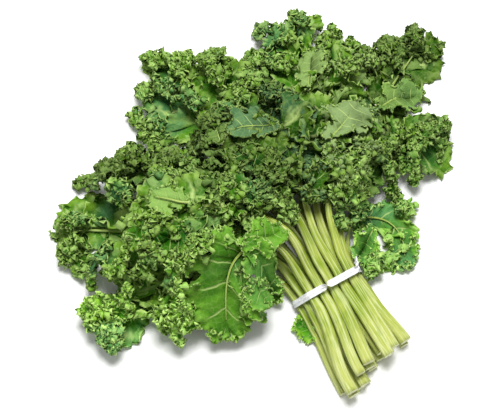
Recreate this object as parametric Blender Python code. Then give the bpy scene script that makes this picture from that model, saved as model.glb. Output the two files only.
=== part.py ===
"""A tied bunch of curly kale, lying on a table.

Eighteen leaves, each grown in one piece with its stalk, are held by one paper twist tie. The stalks run along
+Y, from their cut ends at -Y, in three rows through the tie. Beyond it they fan out, and each blade lies over
the blades laid before it. A blade is the closed slab that its ruffles fill: it has the leaf's outline, and its
underside follows whatever it lies on, the table first of all. Metres, +Z up.
"""

import math

import bmesh
import bpy
import numpy as np
from mathutils import Matrix, Vector

# Stalks where the tie holds them
STALK_RADIUS = 0.0049  # at the tie
STALK_PITCH = 0.0109  # centre to centre along a row
ROW_STEP = 0.0088  # centre to centre of rows
TIE_LIFT = 0.0042  # the lowest row's underside above the table
CUT_LENGTH = 0.095  # tie to cut end, on the bunch's middle line
CUT_SLANT = 0.40  # the left stalks are longer by this share of the distance across
CUT_UNEVEN = 0.005  # how far the cut ends lie out of line
PARTING = (0.0, 0.0015, 0.0045)  # how far each row parts in the middle, at the cut ends
SIDEWAYS = (0.0, 0.003, -0.004)  # how far each row's cut ends lie to the right of its place at the tie
SPREAD = 0.10  # how much wider the bunch is at the cut ends, as a share
ROW_CLIMB = 0.12  # how steeply each row rises from the row below it, beyond the tie
CLEARANCE = 0.0006  # air between neighbours
STALK_SLOPE = 1.05  # steepest climb of a stalk
STALK_SIDES = 8
STALK_END = 0.035  # length of midrib that stands out of the blade's base

# Blades
SLAB = 0.0165  # thickness that a blade's ruffles fill
SLAB_RIM = 0.0055  # thickness at the margin
RIM_WIDTH = 0.022  # distance over which the slab thins to its rim
DROOP = 1.00  # steepest fall of a blade
LATTICE = 0.018  # spacing of the points that every blade's surfaces are drawn through
SLIVER = 0.14 * LATTICE  # a lattice point is at least this far inside or outside an outline
BESIDE = 1.6 * LATTICE  # how far round a blade its underside is worked out
ARCH_WIDTH = 0.030  # distance from the margin over which a blade arches up

# Steps along a stalk's line
STEP = 0.0025
RING_STEPS = 4  # steps between the rings of a stalk's tube

# Twist tie
TIE_WIDTH = 0.0070
TIE_THICKNESS = 0.0010
TIE_LEAN = 0.25  # how far the tie's top leans towards the cut ends, per height
TIE_LEVEL = 0.020  # height at which the leaning tie is at y = 0
TIE_POINT_GAP = 0.0009  # least distance between corners of the tie

LEAF_GREEN = (0.13, 0.26, 0.06)
TIE_WHITE = (0.86, 0.87, 0.86)

# name: row, place in the row in pitches, heading in degrees clockwise from +Y, distance over which the line
# turns to it, length of line from the tie, length of blade, half width, extra height of its arch, stalk size
LEAVES = {
    "bottom_leaf_4": (0, 0, -6, 0.155, 0.332, 0.196, 0.062, 0.000, 1.00),
    "bottom_leaf_2": (0, -2, -57, 0.155, 0.294, 0.182, 0.062, 0.000, 1.02),
    "bottom_leaf_6": (0, 2, 61, 0.155, 0.328, 0.192, 0.060, 0.000, 0.98),
    "bottom_leaf_1": (0, -3, -91, 0.148, 0.253, 0.162, 0.056, 0.000, 0.95),
    "bottom_leaf_7": (0, 3, 212, 0.145, 0.153, 0.106, 0.040, 0.000, 0.90),
    "bottom_leaf_3": (0, -1, -36, 0.155, 0.264, 0.170, 0.051, 0.004, 0.96),
    "bottom_leaf_5": (0, 1, 32, 0.155, 0.326, 0.190, 0.062, 0.004, 1.00),
    "middle_leaf_1": (1, -2.5, -116, 0.146, 0.198, 0.125, 0.044, 0.000, 0.92),
    "middle_leaf_6": (1, 2.5, 92, 0.155, 0.231, 0.152, 0.052, 0.000, 1.00),
    "middle_leaf_3": (1, -0.5, -45, 0.155, 0.258, 0.165, 0.053, 0.004, 0.97),
    "middle_leaf_4": (1, 0.5, 2, 0.155, 0.290, 0.177, 0.052, 0.004, 0.95),
    "middle_leaf_2": (1, -1.5, -82, 0.146, 0.238, 0.152, 0.053, 0.004, 1.00),
    "middle_leaf_5": (1, 1.5, 42, 0.155, 0.270, 0.170, 0.053, 0.004, 0.98),
    "top_leaf_5": (2, 2, 68, 0.155, 0.190, 0.116, 0.044, 0.004, 0.90),
    "top_leaf_4": (2, 1, 19, 0.155, 0.214, 0.132, 0.049, 0.004, 0.94),
    "top_leaf_3": (2, 0, -10, 0.155, 0.210, 0.130, 0.048, 0.004, 1.00),
    "top_leaf_2": (2, -1, -68, 0.148, 0.230, 0.142, 0.052, 0.004, 0.98),
    "top_leaf_1": (2, -2, -150, 0.135, 0.158, 0.096, 0.044, 0.000, 0.96),
}

# A leaflet low on one stalk: its leaf, centre, radius and thickness
LEAFLET = ("bottom_leaf_1", (-0.0435, -0.0240), 0.0150, 0.0095)


def smooth(value):
    """0 below 0, 1 above 1, and an easy curve between."""
    t = np.clip(value, 0.0, 1.0)
    return t * t * (3 - 2 * t)


class Pile:
    """The lattice that blades are laid on, and everything laid so far."""

    def __init__(self, low, high):
        self.low = np.array(low)
        self.count = np.ceil((np.array(high) - self.low) / LATTICE).astype(int) + 1
        across, along = np.meshgrid(*(np.arange(n) for n in self.count), indexing="ij")
        self.x = self.low[0] + across * LATTICE
        self.y = self.low[1] + along * LATTICE
        self.blades = np.zeros(self.count)  # height of the blades' upper surface
        self.stalks = np.zeros(self.count)  # height that a blade needs to clear the stalks
        self.laid = []  # (points, radii) of each stalk

    def at(self, field, x, y):
        """A lattice field between its points, on the lattice's own triangles."""
        u = (np.asarray(x) - self.low[0]) / LATTICE
        v = (np.asarray(y) - self.low[1]) / LATTICE
        i = np.clip(np.floor(u).astype(int), 0, self.count[0] - 2)
        j = np.clip(np.floor(v).astype(int), 0, self.count[1] - 2)
        u, v = u - i, v - j
        corner, far = field[i, j], field[i + 1, j + 1]
        right, up = field[i + 1, j], field[i, j + 1]
        below = corner + u * (right - corner) + v * (far - right)
        above = corner + v * (up - corner) + u * (far - up)
        return np.where(u >= v, below, above)

    def clear_of_stalks(self, points, radii):
        """The least height of each point of a line that clears the stalks laid before it."""
        need = np.full(len(points), -1.0)
        for others, other_radii in self.laid:
            apart = np.hypot(
                points[:, None, 0] - others[None, :, 0],
                points[:, None, 1] - others[None, :, 1],
            )
            reach = radii[:, None] + other_radii[None, :] + CLEARANCE
            rise = np.sqrt(np.clip(reach**2 - apart**2, 0, None))
            need = np.maximum(need, np.where(apart < reach, others[None, :, 2] + rise, -1.0).max(1))
        return need

    def add_stalk(self, points, radii):
        self.laid.append((points, radii))
        for (x, y, z), radius in zip(points, radii):
            near = np.hypot(self.x - x, self.y - y) < radius + LATTICE * math.sqrt(2)
            self.stalks[near] = np.maximum(self.stalks[near], z + radius)


def plan_of(row, place, heading, turn, reach):
    """The leaf's line seen from above, from the cut end to its last point, and each point's way along it."""
    start = place * STALK_PITCH
    cut = CUT_LENGTH - CUT_SLANT * start + CUT_UNEVEN * math.sin(5 * place + 2 * row)
    below = np.arange(math.ceil(cut / STEP), 0, -1) * STEP
    opened = smooth((below - 0.012) / 0.08)
    parting = PARTING[row] * math.copysign(1, place - 0.2)
    across = start + opened * (SIDEWAYS[row] + SPREAD * start + parting)
    way = np.arange(0, math.ceil(reach / STEP) + 1) * STEP
    angle = math.radians(heading) * smooth(way / turn) + math.radians(0.9 * place)
    sides = np.concatenate([[0], np.cumsum(np.sin(angle[1:]) * STEP)]) + start
    aheads = np.concatenate([[0], np.cumsum(np.cos(angle[1:]) * STEP)])
    line = np.concatenate([np.stack([across, -below], 1), np.stack([sides, aheads], 1)])
    return line, np.concatenate([-below, way])


def radii_of(way, blade_start, size):
    """A stalk thickens towards its cut end and thins through the blade."""
    taper = np.interp(
        way, [-0.11, 0, blade_start, blade_start + 0.12], [1.06, 1.0, 0.66, 0.30]
    )
    return STALK_RADIUS * size * taper


def limited(heights, slope, spacing):
    """Raises heights until no step along them is steeper than the slope."""
    heights = heights.copy()
    for order in (range(1, len(heights)), range(len(heights) - 2, -1, -1)):
        back = 1 if order.step > 0 else -1
        for i in order:
            heights[i] = max(heights[i], heights[i - back] - slope * spacing)
    return heights


def widened(heights, reach):
    """Each value raised to the largest within reach places of it."""
    padded = np.pad(heights, reach, mode="edge")
    return np.max([padded[i : i + len(heights)] for i in range(2 * reach + 1)], axis=0)


def half_widths(share, half_width):
    """Half the blade's width along its length, from its base at share 0 to its last point at 1."""
    profile = np.interp(
        share,
        [0.0, 0.15, 0.33, 0.55, 0.78, 0.92, 1.0],
        [0.16, 0.34, 0.68, 0.98, 0.98, 0.84, 0.72],
    )
    return half_width * profile * (1 + 0.05 * np.sin(21 * share))


def inside_of(pile, line, widths):
    """How far each lattice point is inside the blade's outline; below 0 is outside."""
    apart = np.hypot(
        pile.x[..., None] - line[:, 0], pile.y[..., None] - line[:, 1]
    )
    inside = (widths - apart).max(2)
    return np.where(np.abs(inside) < SLIVER, SLIVER, inside)


def laid_over(pile, inside, base, base_height, arch):
    """The underside of a blade: it lies on what is under it, and falls no steeper than DROOP."""
    covered = inside > -BESIDE
    held = np.maximum(pile.blades, pile.stalks)
    held = np.where(held > 0, held + CLEARANCE, 0.0) + arch * smooth(inside / ARCH_WIDTH)
    held = np.where(covered, held, 0.0)
    at_base = base_height - DROOP * np.hypot(pile.x - base[0], pile.y - base[1])
    held = np.where(covered, np.maximum(held, at_base), held)
    for _ in range(2):  # one pass settles it, and the second makes sure
        for i, j in zip(*np.nonzero(covered)):
            fall = DROOP * np.hypot(pile.x - pile.x[i, j], pile.y - pile.y[i, j])
            held = np.maximum(held, np.where(covered, held[i, j] - fall, 0.0))
    return held


def slab_mesh(pile, inside, under, over):
    """The closed slab between two lattice surfaces, cut off at the outline."""
    bm = bmesh.new()
    made = {}

    def vertex(one, two, upper):
        """A lattice point, or the point where the outline crosses the edge between two of them."""
        key = (min(one, two), max(one, two), upper)
        if key not in made:
            a, b = key[0], key[1]
            t = 0.0 if a == b else inside[a] / (inside[a] - inside[b])
            field = over if upper else under
            x, y, z = ((1 - t) * f[a] + t * f[b] for f in (pile.x, pile.y, field))
            made[key] = bm.verts.new((x, y, z))
        return made[key]

    for i in range(pile.count[0] - 1):
        for j in range(pile.count[1] - 1):
            here, right, far, up = (i, j), (i + 1, j), (i + 1, j + 1), (i, j + 1)
            for corners in ((here, right, far), (here, far, up)):
                outline, crossings = [], []
                for k in range(3):
                    a, b = corners[k], corners[(k + 1) % 3]
                    if inside[a] > 0:
                        outline.append((a, a))
                    if (inside[a] > 0) != (inside[b] > 0):
                        outline.append((a, b))
                        crossings.append((a, b))
                if len(outline) < 3:
                    continue
                bm.faces.new([vertex(*p, True) for p in outline])
                bm.faces.new([vertex(*p, False) for p in reversed(outline)])
                for k in range(len(outline)):
                    a, b = outline[k], outline[(k + 1) % len(outline)]
                    if a in crossings and b in crossings:
                        wall = [vertex(*b, True), vertex(*a, True), vertex(*a, False), vertex(*b, False)]
                        bm.faces.new(wall)
                        break
    bmesh.ops.recalc_face_normals(bm, faces=bm.faces)
    bmesh.ops.triangulate(bm, faces=bm.faces)
    mesh = bpy.data.meshes.new("blade")
    bm.to_mesh(mesh)
    bm.free()
    return mesh


def tube_mesh(points, radii):
    """A closed tube through points, its ends cut square."""
    bm = bmesh.new()
    rings = []
    for i, (point, radius) in enumerate(zip(points, radii)):
        ahead = points[min(i + 1, len(points) - 1)] - points[max(i - 1, 0)]
        ahead = Vector(ahead).normalized()
        side = ahead.cross(Vector((0, 0, 1))).normalized()
        up = side.cross(ahead)
        ring = []
        for k in range(STALK_SIDES):
            angle = 2 * math.pi * (k + 0.5) / STALK_SIDES
            offset = side * math.cos(angle) * radius + up * math.sin(angle) * radius
            ring.append(bm.verts.new(Vector(point) + offset))
        rings.append(ring)
    for one, two in zip(rings, rings[1:]):
        for k in range(STALK_SIDES):
            n = (k + 1) % STALK_SIDES
            bm.faces.new((one[k], one[n], two[n], two[k]))
    bm.faces.new(reversed(rings[0]))
    bm.faces.new(rings[-1])
    bmesh.ops.recalc_face_normals(bm, faces=bm.faces)
    mesh = bpy.data.meshes.new("stalk")
    bm.to_mesh(mesh)
    bm.free()
    return mesh


def material(name, colour, roughness):
    made = bpy.data.materials.new(name)
    made.use_nodes = True
    shader = made.node_tree.nodes["Principled BSDF"]
    shader.inputs["Base Color"].default_value = (*colour, 1)
    shader.inputs["Roughness"].default_value = roughness
    shader.inputs["Metallic"].default_value = 0.0
    return made


def add_object(name, mesh, finish=None):
    made = bpy.data.objects.new(name, mesh)
    bpy.context.scene.collection.objects.link(made)
    if finish:
        mesh.materials.append(finish)
    return made


def join_to(target, mesh):
    """Unites a mesh with the target, through a hidden object and a Boolean modifier."""
    other = add_object(f"{target.name}_{mesh.name}", mesh)
    other.hide_render = True
    other.display_type = "WIRE"
    union = target.modifiers.new("join", "BOOLEAN")
    union.operation = "UNION"
    union.solver = "EXACT"
    union.object = other


def leaflet_mesh(centre, radius, thickness):
    """A small round lobe, flat on the table."""
    bm = bmesh.new()
    bmesh.ops.create_cone(
        bm, cap_ends=True, segments=10, radius1=radius, radius2=0.8 * radius, depth=thickness
    )
    bmesh.ops.translate(bm, verts=bm.verts, vec=(*centre, thickness / 2))
    mesh = bpy.data.meshes.new("leaflet")
    bm.to_mesh(mesh)
    bm.free()
    return mesh


def lay_leaf(pile, name, finish):
    """Works out one leaf's line, blade and stalk, lays it on the pile and makes its object."""
    row, place, heading, turn, reach, blade, half_width, arch, size = LEAVES[name]
    line, way = plan_of(row, place, heading, turn, reach)
    start = reach - blade
    end_width = half_widths(1.0, half_width)
    radii = radii_of(way, start, size)
    on_blade = (way >= start) & (way <= reach - end_width)
    share = (way[on_blade] - start) / (blade - end_width)
    inside = inside_of(pile, line[on_blade], half_widths(share, half_width))

    # The stalk's own height: its row at the tie, rising towards its blade, clear of what is laid
    rest = radii + np.interp(way, [-CUT_LENGTH, 0, 0.10], [0, TIE_LIFT, TIE_LIFT + 0.006])
    height = rest + row * (ROW_STEP + ROW_CLIMB * np.clip(way, 0, None))
    height = np.maximum(height, pile.clear_of_stalks(np.column_stack([line, way]), radii))
    for offset in (-1, 0, 1):
        x = line[:, 0] + offset * radii
        need = pile.at(pile.blades, x, line[:, 1])
        height = np.where(need > 0, np.maximum(height, need + radii + CLEARANCE), height)
    on_stalk = way <= start + 0.006
    height = np.where(on_stalk, height, 0.0)
    height = limited(widened(height, RING_STEPS // 2), STALK_SLOPE, STEP)

    base = line[np.argmax(way >= start)]
    base_height = height[np.argmax(way >= start)] - 0.5 * SLAB_RIM
    under = laid_over(pile, inside, base, base_height, arch)
    over = under + SLAB_RIM + (SLAB - SLAB_RIM) * smooth(inside / RIM_WIDTH)
    middle = pile.at((under + over) / 2, line[:, 0], line[:, 1])
    climb = smooth((way - 0.01) / (start - 0.01))
    start_middle = middle[np.argmax(way >= start)]
    start_height = height[np.argmax(way >= start)]
    height = height + climb * max(0.0, start_middle - start_height)
    height = np.where(way > start, middle, height)

    shown = way <= start + STALK_END
    rings = np.unique(np.append(np.arange(0, shown.sum(), RING_STEPS), shown.sum() - 1))
    points = np.column_stack([line, height])
    blade_object = add_object(name, slab_mesh(pile, inside, under, over), finish)
    join_to(blade_object, tube_mesh(points[rings], radii[rings]))
    if name == LEAFLET[0]:
        join_to(blade_object, leaflet_mesh(*LEAFLET[1:]))

    touched = inside > -LATTICE * math.sqrt(2)
    pile.blades[touched] = np.maximum(pile.blades[touched], over[touched])
    outside = way <= start
    pile.add_stalk(points[outside], radii[outside])
    return points, radii


def tie_loop(stalks):
    """The convex outline round the stalks where the tie crosses them, as points (x, z)."""
    circle = np.linspace(0, 2 * math.pi, 24, endpoint=False)
    half_bunch = 4 * STALK_PITCH  # a leaf that bends back past the tie stays further out than this
    ring = []
    for points, radii in stalks:
        off = np.abs(points[:, 1] + TIE_LEAN * (points[:, 2] - TIE_LEVEL))
        near = np.argmin(off + np.maximum(0, np.abs(points[:, 0]) - half_bunch))
        for k in range(near - 2, near + 3):
            reach = radii[k] + CLEARANCE
            x, z = points[k, 0], points[k, 2]
            ring += [(x + reach * math.cos(a), z + reach * math.sin(a)) for a in circle]
    ring = sorted(set(ring))

    def half(candidates):
        kept = []
        for p in candidates:
            while len(kept) > 1:
                (ax, az), (bx, bz) = kept[-2], kept[-1]
                if (bx - ax) * (p[1] - az) - (bz - az) * (p[0] - ax) > 0:
                    break
                kept.pop()
            kept.append(p)
        return kept[:-1]

    outline = [np.array(p) for p in half(ring) + half(ring[::-1])]
    spaced = outline[:1]
    for point in outline[1:]:
        if min(np.hypot(*(point - spaced[-1])), np.hypot(*(point - spaced[0]))) > TIE_POINT_GAP:
            spaced.append(point)
    return np.array(spaced)


def tie_mesh(stalks):
    """A flat paper band round all the stalks, its top leaning towards the cut ends."""
    loop = tie_loop(stalks)
    ahead = np.roll(loop, -1, axis=0) - np.roll(loop, 1, axis=0)
    outward = np.stack([ahead[:, 1], -ahead[:, 0]], 1)
    outward /= np.hypot(*outward.T)[:, None]
    bm = bmesh.new()
    rings = []
    for point, out in zip(loop, outward):
        ring = []
        for depth, side in ((0.25, -1), (1.25, -1), (1.25, 1), (0.25, 1)):
            x, z = point + out * TIE_THICKNESS * depth
            y = side * TIE_WIDTH / 2 - TIE_LEAN * (z - TIE_LEVEL)
            ring.append(bm.verts.new((x, y, z)))
        rings.append(ring)
    for one, two in zip(rings, rings[1:] + rings[:1]):
        for k in range(4):
            n = (k + 1) % 4
            bm.faces.new((one[k], one[n], two[n], two[k]))
    bmesh.ops.recalc_face_normals(bm, faces=bm.faces)
    mesh = bpy.data.meshes.new("tie")
    bm.to_mesh(mesh)
    bm.free()
    return mesh


def centre_on_table():
    """Moves the whole bunch so that the origin is under the middle of its box, on the table."""
    graph = bpy.context.evaluated_depsgraph_get()
    low, high = Vector((1e9,) * 3), Vector((-1e9,) * 3)
    for made in bpy.data.objects:
        if made.hide_render:
            continue
        for corner in made.evaluated_get(graph).bound_box:
            low = Vector(map(min, low, corner))
            high = Vector(map(max, high, corner))
    shift = Vector((-(low.x + high.x) / 2, -(low.y + high.y) / 2, -low.z))
    for made in bpy.data.objects:
        made.data.transform(Matrix.Translation(shift))


def main():
    for old in list(bpy.data.objects):
        bpy.data.objects.remove(old)
    finish = material("leaf", LEAF_GREEN, 0.55)
    pile = Pile((-0.30, -0.13), (0.30, 0.38))
    stalks = [lay_leaf(pile, name, finish) for name in LEAVES]
    add_object("twist_tie", tie_mesh(stalks), material("tie_paper", TIE_WHITE, 0.6))
    centre_on_table()


main()
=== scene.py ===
import math
import time

import bpy
import numpy as np
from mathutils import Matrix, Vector
from mathutils.bvhtree import BVHTree


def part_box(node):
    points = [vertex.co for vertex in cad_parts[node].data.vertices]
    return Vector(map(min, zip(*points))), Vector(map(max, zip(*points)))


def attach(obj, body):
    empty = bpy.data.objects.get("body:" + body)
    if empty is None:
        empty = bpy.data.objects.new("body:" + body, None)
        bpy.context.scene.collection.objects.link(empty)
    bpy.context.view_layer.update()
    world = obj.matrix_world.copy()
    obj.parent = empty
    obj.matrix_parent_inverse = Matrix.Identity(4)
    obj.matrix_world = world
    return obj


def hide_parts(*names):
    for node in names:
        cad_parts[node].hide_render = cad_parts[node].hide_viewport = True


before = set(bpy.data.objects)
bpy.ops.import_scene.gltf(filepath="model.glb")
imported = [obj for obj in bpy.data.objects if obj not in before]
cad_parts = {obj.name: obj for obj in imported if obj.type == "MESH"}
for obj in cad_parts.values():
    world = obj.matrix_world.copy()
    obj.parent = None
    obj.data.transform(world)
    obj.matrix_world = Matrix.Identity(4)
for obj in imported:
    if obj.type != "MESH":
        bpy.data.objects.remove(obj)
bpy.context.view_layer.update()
print("frame loaded")

# the bunch as it was laid: distances in metres, headings in degrees clockwise from +Y
bunch = {
    "tieBox": (0.0001, 0.0004),  # from the middle of the tie's box to where the stalks' lines start
    "stalkRadius": 0.0049,
    "stalkPitch": 0.0109,
    "fan": 0.9,                  # degrees that each stalk turns from the one beside it, at the tie
    "cutLength": 0.095,
    "cutSlant": 0.40,
    "cutUneven": 0.005,
    "opens": (0.012, 0.08),      # from the tie, the stalks part from here and over this length
    "parting": (0.0, 0.0015, 0.0045),   # row by row
    "sideways": (0.0, 0.003, -0.004),
    "spread": 0.10,
    "step": 0.0025,
}

tieMiddle = (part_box("twist_tie")[0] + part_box("twist_tie")[1]) / 2
tieAt = np.array(tieMiddle)[:2] + bunch["tieBox"]

# each leaf's row and place in the tie, heading, length over which it turns, reach, blade, half width and
# stalk size
leafLines = {
    "bottom_leaf_4": (0, 0, -6, 0.155, 0.332, 0.196, 0.062, 1.00),
    "bottom_leaf_2": (0, -2, -57, 0.155, 0.294, 0.182, 0.062, 1.02),
    "bottom_leaf_6": (0, 2, 61, 0.155, 0.328, 0.192, 0.060, 0.98),
    "bottom_leaf_1": (0, -3, -91, 0.148, 0.253, 0.162, 0.056, 0.95),
    "bottom_leaf_7": (0, 3, 212, 0.145, 0.153, 0.106, 0.040, 0.90),
    "bottom_leaf_3": (0, -1, -36, 0.155, 0.264, 0.170, 0.051, 0.96),
    "bottom_leaf_5": (0, 1, 32, 0.155, 0.326, 0.190, 0.062, 1.00),
    "middle_leaf_1": (1, -2.5, -116, 0.146, 0.198, 0.125, 0.044, 0.92),
    "middle_leaf_6": (1, 2.5, 92, 0.155, 0.231, 0.152, 0.052, 1.00),
    "middle_leaf_3": (1, -0.5, -45, 0.155, 0.258, 0.165, 0.053, 0.97),
    "middle_leaf_4": (1, 0.5, 2, 0.155, 0.290, 0.177, 0.052, 0.95),
    "middle_leaf_2": (1, -1.5, -82, 0.146, 0.238, 0.152, 0.053, 1.00),
    "middle_leaf_5": (1, 1.5, 42, 0.155, 0.270, 0.170, 0.053, 0.98),
    "top_leaf_5": (2, 2, 68, 0.155, 0.190, 0.116, 0.044, 0.90),
    "top_leaf_4": (2, 1, 19, 0.155, 0.214, 0.132, 0.049, 0.94),
    "top_leaf_3": (2, 0, -10, 0.155, 0.210, 0.130, 0.048, 1.00),
    "top_leaf_2": (2, -1, -68, 0.148, 0.230, 0.142, 0.052, 0.98),
    "top_leaf_1": (2, -2, -150, 0.135, 0.158, 0.096, 0.044, 0.96),
}

# a blade as it grew: a whole middle, and lobes round it that outgrew their room and so curl
# a net has lobes side by side, the middle one at the tip; its rings are shares of a lobe, and the outer ones
# also say into how many parts the columns split
coarseRings = {"inner": (0, 0.5, 1), "outer": ((0.25, 1), (0.5, 1), (0.75, 1), (1, 1))}
fineRings = ((0.2, 1), (0.4, 2), (0.6, 2), (0.8, 4), (1, 4))
blades = {
    "outline": {"at": (0, 0.15, 0.33, 0.55, 0.78, 1), "wide": (0.16, 0.34, 0.70, 1, 1, 0.95),
                "rounded": 0.30},    # the share at the tip that is rounded off
    "sidesMeet": (0.38, 0.24),   # where one side's width gives way to the other's, and over how much
    "veinLean": 0.70,    # how far the side veins lean forward
    "ribShare": 0.82,    # how far the midrib reaches
    "thickness": 0.0006,
    "thinner": 0.4,      # at the margin
    "crown": {"from": 0.085, "pressed": 0.25},   # the top of the heap lies closer
    "table": 0.0004,     # what meets the table lies this high
    "nets": {
        "whole leaf": {
            "coarse": {"lobes": 17, "columns": 12, **coarseRings},
            "fine": {"lobes": 17, "columns": 16, "inner": (0, 0.5, 1), "outer": fineRings},
        },
        "turned lobe": {
            "coarse": {"lobes": 7, "columns": 10, **coarseRings},
            "fine": {"lobes": 7, "columns": 16, "inner": (0, 0.33, 0.67, 1), "outer": fineRings},
        },
        "tuft": {
            "coarse": {"lobes": 7, "columns": 10, **coarseRings},
            "fine": {"lobes": 7, "columns": 13, "inner": (0, 1),
                     "outer": ((0.22, 1), (0.42, 2), (0.62, 4), (0.82, 4), (1, 4))},
        },
    },
}

# how each leaf looks: how much of it is whole, how its lobes spread, lift and curl, and its colours
# a ruffle has waves to a lobe, height, curl, flare, and the share of the lobe where it begins
leafLooks = {
    "default": {
        "whole": 0.22, "spread": 88, "notches": 6.5, "notchDepth": 0.35, "grown": 1.28,
        "lift": (15, 80, 40, 115, 60), "liftUneven": 20, "lobeUneven": 0.15,
        "curl": 1.5, "wave": 0.004, "stiff": 0.12, "room": 0.009,
        "ruffles": ((3.5, 0.0032, 0.0010, 0.0012, -0.4), (10.5, 0.0024, 0.0012, 0.0010, -0.3),
                    (21.0, 0.0020, 0.0010, 0.0009, -0.1)),
        "pucker": 0.0011, "tooth": 0.0016,
        # deep is a darker green for random patches and also the painted shade in hollows; rim is the paler
        # margin and crest colour, partly thin tissue and partly a painted highlight; paleAndLitCrestShare is
        # how far the painted crest highlight goes
        "deep": (0.009, 0.080, 0.002), "green": (0.050, 0.182, 0.005), "frillGreen": (0.150, 0.30, 0.021),
        "rim": (0.37, 0.53, 0.145), "vein": (0.44, 0.58, 0.19), "pale": (0.23, 0.40, 0.085),
        "bloom": (0.055, 0.180, 0.065), "bloomShare": 0.75, "paleAndLitCrestShare": 0.45, "veins": 17,
        "rib": 1.0, "sides": (1, 1),
    },
    "bottom_leaf_1": {"sides": (1.05, 0.85)},
    "bottom_leaf_6": {"bloomShare": 0.3},
    "bottom_leaf_7": {
        "rib": 0.50, "whole": 0.50, "spread": 66, "lift": (4, 30, 12, 45), "liftUneven": 12, "grown": 1.0,
        "wave": 0.003, "sides": (1.1, 0.56), "pucker": 0.0005,
        "ruffles": ((3.5, 0.0034, 0.0012, 0.0010, -0.2), (9.5, 0.0016, 0.0006, 0.0006, 0.3)),
        "deep": (0.020, 0.085, 0.012), "green": (0.060, 0.18, 0.025), "frillGreen": (0.16, 0.36, 0.03),
    },
    "middle_leaf_5": {"pale": (0.25, 0.39, 0.11)},
    "middle_leaf_6": {"bloomShare": 0.3},
    "top_leaf_1": {
        "rib": 0.50, "whole": 0.60, "spread": 62, "lift": (4, 22, 10, 30), "liftUneven": 8, "grown": 1.18,
        "wave": 0.0025, "pucker": 0.0004, "bloomShare": 0.3,
        "ruffles": ((2.5, 0.0030, 0.0008, 0.0010, -0.2), (7.5, 0.0016, 0.0006, 0.0006, 0.3)),
        "deep": (0.050, 0.17, 0.010), "green": (0.10, 0.27, 0.018), "frillGreen": (0.15, 0.35, 0.030),
    },
    "top_leaf_4": {"pale": (0.155, 0.33, 0.13)},
    "top_leaf_5": {"pale": (0.24, 0.355, 0.13)},
    "smooth lobe": {
        "whole": 0.62, "spread": 60, "lift": (2, 16, 6, 24), "liftUneven": 6, "grown": 1.08, "wave": 0.0015,
        "lobeUneven": 0.40, "notches": 3.5, "notchDepth": 0.55, "pucker": 0.0003,
        "ruffles": ((1.5, 0.0020, 0.0006, 0.0008, -0.2), (5.5, 0.0012, 0.0005, 0.0005, 0.3)),
    },
    "broad lobe": {
        "whole": 0.45, "spread": 72, "lift": (8, 50, 20, 70), "liftUneven": 15, "grown": 1.20, "wave": 0.003,
        "notches": 5.5, "pucker": 0.0008,
        "ruffles": ((2.5, 0.0034, 0.0010, 0.0012, -0.3), (7.5, 0.0024, 0.0010, 0.0010, -0.1),
                    (14.0, 0.0012, 0.0006, 0.0006, 0.2)),
    },
}

# how light each leaf's greens are, partly its own shade of green and partly painted light and shade: lighter
# on the self-shaded lower left, darker round the shadowed gaps between the heads; and the most that a colour
# can reach
leafTintsAndPaintedLight = {
    "bottom_leaf_1": 1.50, "bottom_leaf_2": 1.06, "bottom_leaf_3": 0.81, "bottom_leaf_4": 1.03,
    "bottom_leaf_5": 1.00, "bottom_leaf_6": 0.60, "bottom_leaf_7": 1.30, "middle_leaf_1": 1.38,
    "middle_leaf_2": 1.10, "middle_leaf_3": 0.51, "middle_leaf_4": 0.87, "middle_leaf_5": 0.84,
    "middle_leaf_6": 0.89, "top_leaf_1": 1.02, "top_leaf_2": 0.87, "top_leaf_3": 0.51,
    "top_leaf_4": 0.55, "top_leaf_5": 0.80,
}
lightest = 0.85


def lookOf(name):
    return dict(leafLooks["default"], **leafLooks.get(name, {}))


def smoothStep(value):
    t = np.clip(value, 0.0, 1.0)
    return t * t * (3 - 2 * t)


def unit(vectors, least=0.0):
    return vectors / (np.linalg.norm(vectors, axis=1)[:, None] + least)


def headingsOf(line):
    ahead = np.gradient(line, axis=0)
    return ahead / np.hypot(*ahead.T)[:, None]


def treeOf(node):
    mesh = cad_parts[node].data
    return BVHTree.FromPolygons([v.co for v in mesh.vertices], [p.vertices for p in mesh.polygons])


def spanAt(tree, x, y):  # a node's underside and top at a place, or none beside it
    over = tree.ray_cast((x, y, 1.0), (0, 0, -1))[0]
    under = tree.ray_cast((x, y, -1.0), (0, 0, 1))[0]
    return (under.z, over.z) if over and under else (math.nan, math.nan)


def shifted(field, mode, **values):  # a field and its eight neighbours
    nx, ny = field.shape
    padded = np.pad(field, 1, mode=mode, **values)
    return [padded[1 + a : 1 + a + nx, 1 + b : 1 + b + ny] for a in (-1, 0, 1) for b in (-1, 0, 1)]


def eased(values, rounds):  # smoothed along, with the ends held
    for _ in range(rounds):
        values[1:-1] = (values[:-2] + 2 * values[1:-1] + values[2:]) / 4
    return values


def put(name, data):
    made = bpy.data.objects.new(name, data)
    bpy.context.scene.collection.objects.link(made)
    return made


def leafLine(name):
    row, place, heading, turn, reach = leafLines[name][:5]
    step = bunch["step"]
    start = place * bunch["stalkPitch"]
    cut = bunch["cutLength"] - bunch["cutSlant"] * start + bunch["cutUneven"] * math.sin(5 * place + 2 * row)
    below = np.arange(math.ceil(cut / step), 0, -1) * step
    opensFrom, opensOver = bunch["opens"]
    opened = smoothStep((below - opensFrom) / opensOver)
    parting = bunch["parting"][row] * math.copysign(1, place - 0.2)
    across = start + opened * (bunch["sideways"][row] + bunch["spread"] * start + parting)
    way = np.arange(0, math.ceil(reach / step) + 1) * step
    angle = math.radians(heading) * smoothStep(way / turn) + math.radians(bunch["fan"] * place)
    sides = np.concatenate([[0], np.cumsum(np.sin(angle[1:]) * step)]) + start
    aheads = np.concatenate([[0], np.cumsum(np.cos(angle[1:]) * step)])
    line = np.concatenate([np.stack([across, -below], 1), np.stack([sides, aheads], 1)])
    return line + tieAt, np.concatenate([-below, way])


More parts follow.
